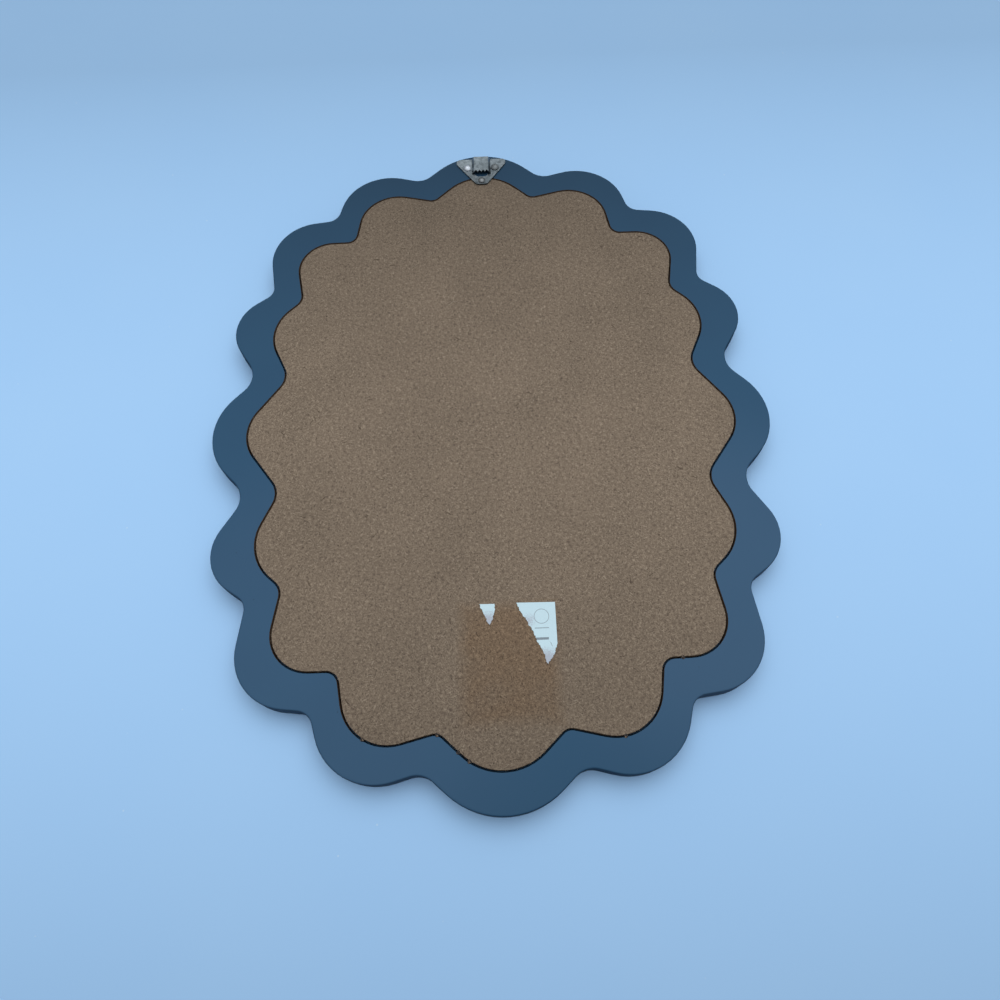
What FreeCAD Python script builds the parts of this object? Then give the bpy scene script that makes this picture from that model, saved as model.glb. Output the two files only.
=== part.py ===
# Scalloped wall mirror, lying on its front rim with its back upwards, as it is photographed.
# Millimetres. +Z points out of the back, +Y runs to the hanger's end, and the origin is
# under the middle of the frame, on the surface that it lies on.
import FreeCAD, Part
import math
import os

from FreeCAD import Vector

# Frame: one piece of fibreboard, scalloped outside, with a pocket routed into its back.
# Its thickness is that of the lip, the glass, the pads and the board together.
WIDTH = 254.0
HEIGHT = 331.5
BAND_WIDTH = 15.5
LIP_THICKNESS = 5.0
LIP_LAP = 5.0
FRONT_ROUND = 4.0
OPENING_ROUND = 2.5
BACK_EASE = 0.8

# Circles of the outer edge in one quarter, between the lobe at the side and the lobe at the
# end: notches and lobes in turn, each with its centre as shares of the half width and half
# height, and its radius as a share of the roundness.
SIDE_LOBE_SHARE = 0.219
END_LOBE_SHARE = 0.262
EDGE_CIRCLE_SHARES = (
    (0.967, 0.191, 0.088),
    (0.800, 0.343, 0.159),
    (0.882, 0.497, 0.053),
    (0.661, 0.604, 0.185),
    (0.640, 0.791, 0.055),
    (0.385, 0.771, 0.198),
    (0.265, 0.961, 0.073),
)

# The same for the pocket's wall, as shares of the pocket's own half width and half height.
POCKET_SIDE_LOBE_SHARE = 0.183
POCKET_END_LOBE_SHARE = 0.216
POCKET_CIRCLE_SHARES = (
    (0.950, 0.204, 0.087),
    (0.733, 0.352, 0.194),
    (0.878, 0.509, 0.060),
    (0.689, 0.618, 0.151),
    (0.628, 0.763, 0.044),
    (0.397, 0.796, 0.177),
    (0.239, 0.933, 0.040),
)

# The half width of the outer edge and of the pocket as shares of their half height, in a
# mirror of this shape.
EDGE_ASPECT_SHARE = 0.766
POCKET_ASPECT_SHARE = 0.743

# Mirror glass, which lies on the lip, and the hardboard back, which is flush with the frame.
GLASS_THICKNESS = 3.0
GLASS_CLEARANCE = 1.6
BOARD_THICKNESS = 3.0
BOARD_GAP = 0.95

# Foam pads between the glass and the board.
PAD_THICKNESS = 1.0
PAD_LENGTH = 24.0
PAD_WIDTH = 12.0
PAD_CORNER_RADIUS = 1.5
PAD_FROM_POCKET = 26.0

# Dabs of hot-melt glue across the gap round the board, and the place of each as a share of
# the gap's whole length, anticlockwise from the lobe at +X.
DAB_RADIUS = 0.8
DAB_SINK = 1.5
DAB_RISE = 0.3
DAB_ROUND = 0.25
DAB_CLEARANCE = 0.1
DAB_SHARES = {
    "right": 0.8693,
    "lower_right": 0.8212,
    "bottom": 0.7485,
    "bottom_left": 0.7425,
    "notch": 0.7308,
    "lower_left": 0.6981,
}

# Stamped triangular hanger. Between its two upper nails a strap stands off the plate, with
# teeth along its lower edge, over a window.
HANGER_WIDTH = 26.0
HANGER_HEIGHT = 17.5
HANGER_END_HEIGHT = 3.2
HANGER_FOOT_WIDTH = 5.6
HANGER_SHEET = 0.8
HANGER_BOARD_LAP = 4.3
HANGER_CORNER_RADIUS = 2.0
HANGER_SHOULDER_RADIUS = 2.0
HANGER_FOOT_RADIUS = 2.6
STRAP_DEPTH = 10.4
STRAP_LENGTH = 7.6
STRAP_RISE = 1.8
STRAP_RAMP = 1.2
STRAP_SLIT = 0.4
TOOTH_PITCH = 1.9
TOOTH_GAP = 1.5
TOOTH_DEPTH = 1.1
WINDOW_TOP_WIDTH = 7.0
WINDOW_FOOT_WIDTH = 4.4
WINDOW_HEIGHT = 1.4

# Domed nails through the hanger: two into the frame, and a short tack into the board.
NAIL_HEAD_RADIUS = 2.1
NAIL_HEAD_HEIGHT = 1.2
NAIL_RIM = 0.3
NAIL_SHANK_RADIUS = 0.65
NAIL_LENGTH = 8.0
NAIL_HOLE_CLEARANCE = 0.2
NAIL_SPACING = 14.6
NAIL_FROM_TOP = 6.1
TACK_HEAD_RADIUS = 1.8
TACK_HEAD_HEIGHT = 1.0
TACK_SHANK_RADIUS = 0.5
TACK_LENGTH = 3.0
TACK_FROM_BOARD_END = 1.8

# Two torn scraps of a paper label on the board: the size and place of the whole label, and
# each scrap's corners as shares of the label's width and height from its top left corner.
LABEL_WIDTH = 37.8
LABEL_HEIGHT = 47.0
LABEL_THICKNESS = 0.15
LABEL_LEFT_OF_MIDDLE = 14.3
LABEL_TOP_ABOVE_EDGE = 65.7
SCRAP_CORNER_SHARES = {
    "large": (
        (0.58, 0.00),
        (1.00, 0.00),
        (1.00, 0.37),
        (0.98, 0.41),
        (0.95, 0.48),
        (0.92, 0.51),
        (0.88, 0.54),
        (0.86, 0.48),
        (0.82, 0.38),
        (0.78, 0.32),
        (0.75, 0.25),
        (0.69, 0.16),
        (0.65, 0.11),
    ),
    "small": (
        (0.18, 0.00),
        (0.345, 0.00),
        (0.345, 0.05),
        (0.30, 0.19),
        (0.28, 0.19),
        (0.23, 0.12),
    ),
}

# Cutting solids run past the faces that they cut by this much.
OVERRUN = 1.0

# Sizes and heights that follow from those above.
HALF_WIDTH = WIDTH / 2
HALF_HEIGHT = HEIGHT / 2
POCKET_HALF_WIDTH = HALF_WIDTH - BAND_WIDTH
POCKET_HALF_HEIGHT = HALF_HEIGHT - BAND_WIDTH
GLASS_BACK_Z = LIP_THICKNESS + GLASS_THICKNESS
BOARD_FRONT_Z = GLASS_BACK_Z + PAD_THICKNESS
BACK_Z = BOARD_FRONT_Z + BOARD_THICKNESS
BOARD_END_Y = POCKET_HALF_HEIGHT - BOARD_GAP
HANGER_FOOT_Y = BOARD_END_Y - HANGER_BOARD_LAP
HANGER_TOP_Y = HANGER_FOOT_Y + HANGER_HEIGHT
STRAP_FOOT_Y = HANGER_TOP_Y - STRAP_DEPTH
SLIT_FOOT_Y = STRAP_FOOT_Y - STRAP_SLIT
STRAP_HALF_SPAN = STRAP_LENGTH / 2 + STRAP_RAMP
NAIL_SEAT_Z = BACK_Z + HANGER_SHEET
NAIL_PLACES = {
    "left": Vector(-NAIL_SPACING / 2, HANGER_TOP_Y - NAIL_FROM_TOP, NAIL_SEAT_Z),
    "right": Vector(NAIL_SPACING / 2, HANGER_TOP_Y - NAIL_FROM_TOP, NAIL_SEAT_Z),
}
TACK_PLACE = Vector(0, BOARD_END_Y - TACK_FROM_BOARD_END, NAIL_SEAT_Z)


def quarter_circles(half_width, half_height, aspect_share, side_share, end_share, circle_shares):
    """Centre and radius of each circle in the +X +Y quarter, lobes and notches in turn.

    The roundness that the radii are shares of is the half width in a mirror of this shape,
    and less in a wider or a longer one, where the straight runs between the circles grow.
    """
    smaller = min(half_width, aspect_share * half_height)
    larger = max(half_width, aspect_share * half_height)
    roundness = smaller * math.sqrt(smaller / larger)
    side_radius = side_share * roundness
    end_radius = end_share * roundness
    circles = [(Vector(half_width - side_radius, 0, 0), side_radius)]
    for x_share, y_share, radius_share in circle_shares:
        centre = Vector(x_share * half_width, y_share * half_height, 0)
        circles.append((centre, radius_share * roundness))
    circles.append((Vector(0, half_height - end_radius, 0), end_radius))
    return circles


def mirrored(circles, x_sign, y_sign):
    """The circles with their centres mirrored into another quarter."""
    return [(Vector(x_sign * c.x, y_sign * c.y, 0), radius) for c, radius in circles]


def full_ring(quarter):
    """All the circles, anticlockwise from the lobe at +X; every other one is a lobe."""
    backwards = quarter[::-1]
    return (
        quarter
        + mirrored(backwards[1:], -1, 1)
        + mirrored(quarter[1:], -1, -1)
        + mirrored(backwards[1:-1], 1, -1)
    )


def contact_points(lobe, notch, turns_out):
    """Where the straight run between a lobe and its neighbouring notch touches each of them."""
    lobe_centre, lobe_radius = lobe
    notch_centre, notch_radius = notch
    across = notch_centre - lobe_centre
    swing = math.acos((lobe_radius + notch_radius) / across.Length)
    angle = math.atan2(across.y, across.x) + (swing if turns_out else -swing)
    normal = Vector(math.cos(angle), math.sin(angle), 0)
    return lobe_centre + normal * lobe_radius, notch_centre - normal * notch_radius


def arc_about(centre, radius, start, end, anticlockwise):
    """The arc about a centre from start to end, turning the given way."""
    first = math.atan2(start.y - centre.y, start.x - centre.x)
    last = math.atan2(end.y - centre.y, end.x - centre.x)
    if anticlockwise and last < first:
        last += 2 * math.pi
    if not anticlockwise and last > first:
        last -= 2 * math.pi
    halfway = (first + last) / 2
    crown = centre + Vector(math.cos(halfway), math.sin(halfway), 0) * radius
    return Part.Arc(start, crown, end).toShape()


def scalloped_wire(ring, inset=0.0):
    """Closed outline of lobe arcs, notch arcs and the straight runs that join them.

    The whole outline is moved inwards by the inset.
    """
    circles = []
    for number, (centre, radius) in enumerate(ring):
        is_lobe = number % 2 == 0
        circles.append((centre, radius - inset if is_lobe else radius + inset))
    starts = []
    ends = []
    for number, circle in enumerate(circles):
        following = circles[(number + 1) % len(circles)]
        if number % 2 == 0:
            start, end = contact_points(circle, following, False)
        else:
            end, start = contact_points(following, circle, True)
        starts.append(start)
        ends.append(end)
    edges = []
    for number, (centre, radius) in enumerate(circles):
        edges.append(arc_about(centre, radius, ends[number - 1], starts[number], number % 2 == 0))
        edges.append(Part.LineSegment(starts[number], ends[number]).toShape())
    return Part.Wire(edges)


def outer_ring():
    """The circles of the frame's outer edge."""
    quarter = quarter_circles(
        HALF_WIDTH,
        HALF_HEIGHT,
        EDGE_ASPECT_SHARE,
        SIDE_LOBE_SHARE,
        END_LOBE_SHARE,
        EDGE_CIRCLE_SHARES,
    )
    return full_ring(quarter)


def pocket_ring():
    """The circles of the pocket's wall."""
    quarter = quarter_circles(
        POCKET_HALF_WIDTH,
        POCKET_HALF_HEIGHT,
        POCKET_ASPECT_SHARE,
        POCKET_SIDE_LOBE_SHARE,
        POCKET_END_LOBE_SHARE,
        POCKET_CIRCLE_SHARES,
    )
    return full_ring(quarter)


def slab(wire, bottom, top):
    """A flat solid with the wire's outline between two heights."""
    face = Part.Face(wire)
    face.translate(Vector(0, 0, bottom))
    return face.extrude(Vector(0, 0, top - bottom))


def polygon(points):
    """A closed wire through flat points."""
    corners = [Vector(x, y, 0) for x, y in points]
    return Part.makePolygon(corners + corners[:1])


def upright_edges(solid, y_low, y_high):
    """The vertical edges of a slab that stand between two places along Y."""
    return [
        edge
        for edge in solid.Edges
        if edge.BoundBox.ZLength > max(edge.BoundBox.XLength, edge.BoundBox.YLength)
        and y_low < edge.CenterOfMass.y < y_high
    ]


def nail(place, head_radius, head_height, shank_radius, length):
    """A domed nail, turned about its own axis, with its head's underside at the place."""
    dome_centre = (head_radius**2 + NAIL_RIM**2 - head_height**2) / (2 * (NAIL_RIM - head_height))
    dome_radius = head_height - dome_centre
    half_angle = math.atan2(head_radius, NAIL_RIM - dome_centre) / 2
    halfway = Vector(
        dome_radius * math.sin(half_angle), 0, dome_centre + dome_radius * math.cos(half_angle)
    )
    rim = Vector(head_radius, 0, NAIL_RIM)
    crown = Vector(0, 0, head_height)
    side = [
        crown,
        Vector(0, 0, -length),
        Vector(shank_radius, 0, -length),
        Vector(shank_radius, 0, 0),
        Vector(head_radius, 0, 0),
        rim,
    ]
    edges = [Part.LineSegment(a, b).toShape() for a, b in zip(side, side[1:])]
    edges.append(Part.Arc(rim, halfway, crown).toShape())
    profile = Part.Face(Part.Wire(edges))
    turned = profile.revolve(Vector(0, 0, 0), Vector(0, 0, 1), 360)
    turned.translate(place)
    return turned


def shank_holes():
    """The holes that the nails and the tack make in what they are driven into."""
    holes = []
    for place in NAIL_PLACES.values():
        tip = place - Vector(0, 0, NAIL_LENGTH)
        holes.append(Part.makeCylinder(NAIL_SHANK_RADIUS, NAIL_LENGTH + OVERRUN, tip))
    tip = TACK_PLACE - Vector(0, 0, TACK_LENGTH)
    holes.append(Part.makeCylinder(TACK_SHANK_RADIUS, TACK_LENGTH + OVERRUN, tip))
    return holes


def make_frame():
    """The routed frame: a lip round the opening in front, and the pocket behind it."""
    opening = slab(scalloped_wire(pocket_ring(), LIP_LAP), -OVERRUN, BACK_Z + OVERRUN)
    body = slab(scalloped_wire(outer_ring()), 0, BACK_Z).cut(opening)

    front = min(body.Faces, key=lambda face: face.BoundBox.ZMax)
    body = body.makeFillet(FRONT_ROUND, front.OuterWire.Edges)

    front = min(body.Faces, key=lambda face: face.BoundBox.ZMax)
    opening_wire = [wire for wire in front.Wires if not wire.isSame(front.OuterWire)][0]
    body = body.makeFillet(OPENING_ROUND, opening_wire.Edges)

    back = max(body.Faces, key=lambda face: face.BoundBox.ZMin)
    body = body.makeFillet(BACK_EASE, back.OuterWire.Edges)

    pocket = slab(scalloped_wire(pocket_ring()), LIP_THICKNESS, BACK_Z + OVERRUN)
    return body.cut(pocket).cut(shank_holes())


def make_glass():
    """The mirror glass, cut to the pocket's shape with room all round."""
    return slab(scalloped_wire(pocket_ring(), GLASS_CLEARANCE), LIP_THICKNESS, GLASS_BACK_Z)


def make_board():
    """The hardboard back, with an even gap to the pocket's wall."""
    board = slab(scalloped_wire(pocket_ring(), BOARD_GAP), BOARD_FRONT_Z, BACK_Z)
    return board.cut(shank_holes())


def make_pads():
    """Four foam pads on the glass, one near each lobe that lies on an axis."""
    x_place = POCKET_HALF_WIDTH - PAD_FROM_POCKET
    y_place = POCKET_HALF_HEIGHT - PAD_FROM_POCKET
    places = {
        "top": (0, y_place, PAD_LENGTH, PAD_WIDTH),
        "bottom": (0, -y_place, PAD_LENGTH, PAD_WIDTH),
        "left": (-x_place, 0, PAD_WIDTH, PAD_LENGTH),
        "right": (x_place, 0, PAD_WIDTH, PAD_LENGTH),
    }
    pads = {}
    for side, (x, y, x_size, y_size) in places.items():
        corner = Vector(x - x_size / 2, y - y_size / 2, GLASS_BACK_Z)
        pad = Part.makeBox(x_size, y_size, PAD_THICKNESS, corner)
        corners = upright_edges(pad, y - y_size, y + y_size)
        pads[side] = pad.makeFillet(PAD_CORNER_RADIUS, corners)
    return pads


def place_along(edges, share):
    """The point at a share of the whole length of a run of edges."""
    rest = share * sum(edge.Length for edge in edges)
    for edge in edges:
        if rest < edge.Length:
            return edge.valueAt(edge.getParameterByLength(rest))
        rest -= edge.Length
    return edge.valueAt(edge.LastParameter)


def make_dabs():
    """Blobs of glue: a plug in the gap, and a button that holds on to both its edges."""
    plug_foot = BACK_Z - DAB_SINK
    outside = scalloped_wire(pocket_ring(), DAB_CLEARANCE)
    inside = scalloped_wire(pocket_ring(), BOARD_GAP - DAB_CLEARANCE)
    gap = slab(outside, plug_foot, BACK_Z).cut(slab(inside, plug_foot, BACK_Z))
    gap_edges = scalloped_wire(pocket_ring(), BOARD_GAP / 2).Edges
    dabs = {}
    for name, share in DAB_SHARES.items():
        place = place_along(gap_edges, share)
        plug = Part.makeCylinder(DAB_RADIUS, DAB_SINK, place + Vector(0, 0, plug_foot))
        button = Part.makeCylinder(DAB_RADIUS, DAB_RISE, place + Vector(0, 0, BACK_Z))
        top = max(button.Faces, key=lambda face: face.BoundBox.ZMin)
        button = button.makeFillet(DAB_ROUND, top.Edges)
        dabs[name] = button.fuse(plug.common(gap))
    return dabs


def make_hanger():
    """The stamped hanger: a nailed plate with a window, and the raised strap with its teeth."""
    foot = HANGER_FOOT_WIDTH / 2
    end = HANGER_WIDTH / 2
    shoulder_y = HANGER_TOP_Y - HANGER_END_HEIGHT
    plan = polygon(
        [
            (-foot, HANGER_FOOT_Y),
            (foot, HANGER_FOOT_Y),
            (end, shoulder_y),
            (end, HANGER_TOP_Y),
            (-end, HANGER_TOP_Y),
            (-end, shoulder_y),
        ]
    )
    plate = slab(plan, BACK_Z, NAIL_SEAT_Z)
    roundings = [
        (HANGER_FOOT_RADIUS, HANGER_FOOT_Y),
        (HANGER_SHOULDER_RADIUS, shoulder_y),
        (HANGER_CORNER_RADIUS, HANGER_TOP_Y),
    ]
    for radius, y in roundings:
        reach = HANGER_END_HEIGHT / 4
        plate = plate.makeFillet(radius, upright_edges(plate, y - reach, y + reach))

    window_foot_y = SLIT_FOOT_Y - WINDOW_HEIGHT
    window = polygon(
        [
            (-WINDOW_FOOT_WIDTH / 2, window_foot_y),
            (WINDOW_FOOT_WIDTH / 2, window_foot_y),
            (WINDOW_TOP_WIDTH / 2, SLIT_FOOT_Y),
            (STRAP_HALF_SPAN, SLIT_FOOT_Y),
            (STRAP_HALF_SPAN, HANGER_TOP_Y + OVERRUN),
            (-STRAP_HALF_SPAN, HANGER_TOP_Y + OVERRUN),
            (-STRAP_HALF_SPAN, SLIT_FOOT_Y),
            (-WINDOW_TOP_WIDTH / 2, SLIT_FOOT_Y),
        ]
    )
    cuts = [slab(window, BACK_Z - OVERRUN, NAIL_SEAT_Z + OVERRUN)]
    for place in NAIL_PLACES.values():
        cuts.append(clearance_hole(place, NAIL_SHANK_RADIUS))
    cuts.append(clearance_hole(TACK_PLACE, TACK_SHANK_RADIUS))
    return plate.cut(cuts).fuse(make_strap()).removeSplitter()


def clearance_hole(place, shank_radius):
    """A hole through the hanger's sheet, a little larger than the shank in it."""
    bottom = place - Vector(0, 0, HANGER_SHEET + OVERRUN)
    return Part.makeCylinder(
        shank_radius + NAIL_HOLE_CLEARANCE, HANGER_SHEET + 2 * OVERRUN, bottom
    )


def make_strap():
    """The strap that stands off the wall side of the plate, with teeth along its lower edge."""
    half_flat = STRAP_LENGTH / 2
    underside = [
        (-STRAP_HALF_SPAN, 0),
        (-half_flat, STRAP_RISE),
        (half_flat, STRAP_RISE),
        (STRAP_HALF_SPAN, 0),
    ]
    topside = [(x, z + HANGER_SHEET) for x, z in reversed(underside)]
    corners = [Vector(x, STRAP_FOOT_Y, BACK_Z + z) for x, z in underside + topside]
    side = Part.Face(Part.makePolygon(corners + corners[:1]))
    strap = side.extrude(Vector(0, STRAP_DEPTH, 0))

    gap_count = round(STRAP_LENGTH / TOOTH_PITCH)
    cuts = []
    for number in range(gap_count):
        x = (number - (gap_count - 1) / 2) * TOOTH_PITCH
        gap = polygon(
            [
                (x - TOOTH_GAP / 2, STRAP_FOOT_Y - OVERRUN),
                (x + TOOTH_GAP / 2, STRAP_FOOT_Y - OVERRUN),
                (x + TOOTH_GAP / 2, STRAP_FOOT_Y),
                (x, STRAP_FOOT_Y + TOOTH_DEPTH),
                (x - TOOTH_GAP / 2, STRAP_FOOT_Y),
            ]
        )
        cuts.append(slab(gap, BACK_Z, NAIL_SEAT_Z + STRAP_RISE + OVERRUN))
    return strap.cut(cuts)


def make_scraps():
    """What is left of the label after it was torn off."""
    left = -LABEL_LEFT_OF_MIDDLE
    top = LABEL_TOP_ABOVE_EDGE - BOARD_END_Y
    scraps = {}
    for name, corner_shares in SCRAP_CORNER_SHARES.items():
        outline = polygon(
            [
                (left + x_share * LABEL_WIDTH, top - y_share * LABEL_HEIGHT)
                for x_share, y_share in corner_shares
            ]
        )
        scraps[name] = slab(outline, BACK_Z, BACK_Z + LABEL_THICKNESS)
    return scraps


def make_parts():
    """Every piece of the mirror by its name."""
    parts = {
        "frame": make_frame(),
        "mirror_glass": make_glass(),
        "backing_board": make_board(),
        "sawtooth_hanger": make_hanger(),
        "hanger_tack": nail(
            TACK_PLACE, TACK_HEAD_RADIUS, TACK_HEAD_HEIGHT, TACK_SHANK_RADIUS, TACK_LENGTH
        ),
    }
    for side, pad in make_pads().items():
        parts["foam_pad_" + side] = pad
    for side, place in NAIL_PLACES.items():
        parts["hanger_nail_" + side] = nail(
            place, NAIL_HEAD_RADIUS, NAIL_HEAD_HEIGHT, NAIL_SHANK_RADIUS, NAIL_LENGTH
        )
    for name, dab in make_dabs().items():
        parts["glue_dab_" + name] = dab
    for name, scrap in make_scraps().items():
        parts["label_scrap_" + name] = scrap
    return parts


def main():
    os.makedirs("parts", exist_ok=True)
    for name, shape in make_parts().items():
        shape.exportStep("parts/" + name + ".step")
        print(name, len(shape.Solids), "solid", round(shape.Volume, 1), "mm3", shape.isValid())


if __name__ == "__main__":
    main()
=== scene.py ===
# Looks of the scalloped wall mirror, which lies on its front rim with its back upwards.
# Metres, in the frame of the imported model: +Z out of the back, +Y to the hanger's end.
import math
import random

import bmesh
import bpy
from mathutils import Euler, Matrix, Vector


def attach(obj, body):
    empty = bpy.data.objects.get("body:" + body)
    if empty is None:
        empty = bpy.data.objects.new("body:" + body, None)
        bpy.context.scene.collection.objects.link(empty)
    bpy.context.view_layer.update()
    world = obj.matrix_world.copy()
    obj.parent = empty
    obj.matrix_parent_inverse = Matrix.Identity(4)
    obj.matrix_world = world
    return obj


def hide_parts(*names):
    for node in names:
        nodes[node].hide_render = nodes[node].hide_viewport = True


MM = 0.001

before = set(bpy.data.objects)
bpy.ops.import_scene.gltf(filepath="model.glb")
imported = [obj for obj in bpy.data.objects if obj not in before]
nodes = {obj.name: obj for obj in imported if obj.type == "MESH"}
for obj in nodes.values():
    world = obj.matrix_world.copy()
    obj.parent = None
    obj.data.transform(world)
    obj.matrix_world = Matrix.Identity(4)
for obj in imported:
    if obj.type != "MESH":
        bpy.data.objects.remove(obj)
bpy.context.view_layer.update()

# Camera: a phone held above the near end, looking down and away.
CAMERA_PLACE = (0.001569, -0.175259, 0.326284)
CAMERA_TURN_DEGREES = (23.6684, 0.7665, -2.191)
LENS_MM = 28.311
SENSOR_MM = 36.0

# The room's light: the direction of its brightest part, how far round that its glow starts
# as the cosine of the angle, and its least and its most.
GLOW_DIRECTION = (0.075, 0.197, 0.978)
GLOW_STARTS = 0.66
ROOM_DIMMEST = 0.325
ROOM_BRIGHTEST = 2.5

# Heights of the mirror's faces, which materials are told apart by.
GLASS_FRONT_Z = 5 * MM
BACK_Z = 12 * MM

# The label as it was before it was torn off, in millimetres.
LABEL_LEFT = -14.3
LABEL_RIGHT = 23.5
LABEL_TOP = -84.1
LABEL_FOOT = -131.1
LABEL_PLY = 0.12

# What is left of it: each corner's place in millimetres, and whether the edge that follows
# is the label's own cut edge. The others are torn.
LARGE_SCRAP = (
    ((7.5, -84.0), True),
    ((23.5, -84.3), True),
    ((23.4, -101.7), False),
    ((22.2, -105.3), False),
    ((20.7, -107.6), False),
    ((19.1, -109.8), False),
    ((18.2, -106.8), False),
    ((16.5, -102.2), False),
    ((15.0, -99.4), False),
    ((13.8, -96.0), False),
    ((11.6, -91.9), False),
    ((10.0, -89.4), False),
)
SMALL_SCRAP = (
    ((-7.7, -84.0), True),
    ((-1.4, -84.1), False),
    ((-1.3, -86.5), False),
    ((-2.2, -90.1), False),
    ((-3.6, -92.9), False),
    ((-4.3, -92.3), False),
    ((-5.6, -88.9), False),
)

# Where the face peeled off a scrap and the ply shows: the place, how far it reaches, how far
# it is fully bare, and how bare. The first spot is the tip, which is lifted a little.
LARGE_BARE_SPOTS = (((19.1, -109.8), 9.0, 2.0, 1.0), ((12.3, -91.6), 4.6, 1.2, 0.55))
SMALL_BARE_SPOTS = (((-3.6, -92.9), 8.0, 1.5, 1.0),)

# How high the tip is lifted, and how far round it the paper lifts, in millimetres.
TIP_LIFT = 0.35
TIP_LIFT_REACH = 5.0

# A torn edge wanders: how often it turns, how far it goes off its line at each turn, and
# how much of the last turn it keeps. The paper bends along cuts that are BEND_STEP apart.
TEAR_STEP = 0.3
TEAR_DEPTH = 0.28
TEAR_MEMORY = 0.6
BEND_STEP = 0.7 * MM

# The sheet's thickness, as a share of its face's height over the board where it lies flat.
SHEET_SHARE = 0.8

# What is printed on the large scrap, in millimetres: a ring, and dashes as the place of
# each one's middle, its half length and its half height.
RING_CENTRE = (17.6, -90.1)
RING_RADIUS = 3.0
RING_LINE = 0.18
THIN_DASH = (17.5, -95.0, 2.9, 0.2)
THICK_DASH = (17.4, -99.4, 2.7, 0.5)

# A painted sheen on the lacquer, a pale painted highlight, in millimetres: each spot's place,
# how far it is even, how far it reaches, and how deep it is.
PAINTED_SHEEN_SPOTS = ((95.0, -80.0, 35.0, 100.0, 0.038), (-75.0, -105.0, 50.0, 110.0, 0.024))

# Painted shade: how finishes are painted darker away from a place on an axis, where they get
# less light: the place, a distance from it, and how much darker the finish is there. Each is
# along the length, apart from the last.
LACQUER_PAINTED_SHADE = (-48 * MM, 150 * MM, 0.21)
BOARD_PAINTED_SHADE = (-10 * MM, 150 * MM, 0.26)
TABLE_PAINTED_SHADE = (10 * MM, 160 * MM, 0.1)
ZINC_PAINTED_SHADE_DOWN = (170 * MM, 22 * MM, 0.42)
ZINC_PAINTED_SHADE_RIGHT = (-20 * MM, 30 * MM, 0.13)

# The table: its size, how far it is below the mirror, and how far from the middle its painted
# shade goes on changing, along each axis.
TABLE_SIZE = 6.0
TABLE_GAP = 0.1 * MM
TABLE_SHADE_REACH = (0.3, 0.26, 1.0)

# The sum of four noises at which the board's felt is darkest and palest.
FELT_DARK = 1.56
FELT_PALE = 2.44

# How far the pattern on the board is pushed about at most, which bends its fibres.
FIBRE_BEND = 1.6 * MM

# Loose fibres: how many on each square metre of the board's back, and along its rim.
FIBRES_PER_SQUARE_METRE = 7000.0
RIM_FIBRE_SPACING = 0.9 * MM


def linear(hex_code):
    """An sRGB hex colour as linear red, green, blue and alpha."""
    shares = [int(hex_code[i : i + 2], 16) / 255 for i in (0, 2, 4)]
    return [s / 12.92 if s <= 0.04045 else ((s + 0.055) / 1.055) ** 2.4 for s in shares] + [1.0]


def add(tree, kind, inputs=None, **settings):
    """Adds a node with its settings. Each input is a plain value or the output that feeds it."""
    made = tree.nodes.new(kind)
    for name, value in settings.items():
        setattr(made, name, value)
    for name, value in (inputs or {}).items():
        if isinstance(value, bpy.types.NodeSocket):
            tree.links.new(value, made.inputs[name])
        else:
            made.inputs[name].default_value = value
    return made


def new_finish(name, roughness, metallic=0.0):
    """A material with its shader, and the place on the piece that its patterns read."""
    material = bpy.data.materials.new(name)
    material.use_nodes = True
    tree = material.node_tree
    shader = tree.nodes["Principled BSDF"]
    shader.inputs["Roughness"].default_value = roughness
    shader.inputs["Metallic"].default_value = metallic
    place = add(tree, "ShaderNodeTexCoord").outputs["Object"]
    return material, tree, shader, place


def painted_shade_ends(tree, place, colour, ends, axis=1):
    """Painted shade: a colour that gets darker along an axis, both ways from a place on it."""
    middle, reach, depth = ends
    along = add(tree, "ShaderNodeSeparateXYZ", {0: place}).outputs[axis]
    off = add(
        tree,
        "ShaderNodeMath",
        {0: along, 1: 1 / reach, 2: -middle / reach},
        operation="MULTIPLY_ADD",
    )
    square = add(
        tree, "ShaderNodeMath", {0: off.outputs[0], 1: off.outputs[0]}, operation="MULTIPLY"
    )
    share = add(
        tree, "ShaderNodeMath", {0: square.outputs[0], 1: -depth, 2: 1.0}, operation="MULTIPLY_ADD"
    )
    return add(
        tree, "ShaderNodeVectorMath", {0: colour, 3: share.outputs[0]}, operation="SCALE"
    ).outputs[0]


def specks(tree, place, cell, rim, core, channel, rarest, commonest, depth):
    """How deep a dark speck shows at a place, with at most one in each cell of a size.

    A speck fades in from its rim to its core, which are distances as shares of the cell. The
    cell's random number says whether it has one: none up to rarest, the full depth from
    commonest.
    """
    cells = add(tree, "ShaderNodeTexVoronoi", {"Vector": place, "Scale": 1 / cell})
    size = add(
        tree,
        "ShaderNodeMapRange",
        {0: cells.outputs["Distance"], 1: rim, 2: core, 3: 0.0, 4: 1.0},
    )
    number = add(tree, "ShaderNodeSeparateColor", {0: cells.outputs["Color"]})
    rarity = add(
        tree,
        "ShaderNodeMapRange",
        {0: number.outputs[channel], 1: rarest, 2: commonest, 3: 0.0, 4: depth},
    )
    return add(
        tree, "ShaderNodeMath", {0: size.outputs[0], 1: rarity.outputs[0]}, operation="MULTIPLY"
    ).outputs[0]


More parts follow.
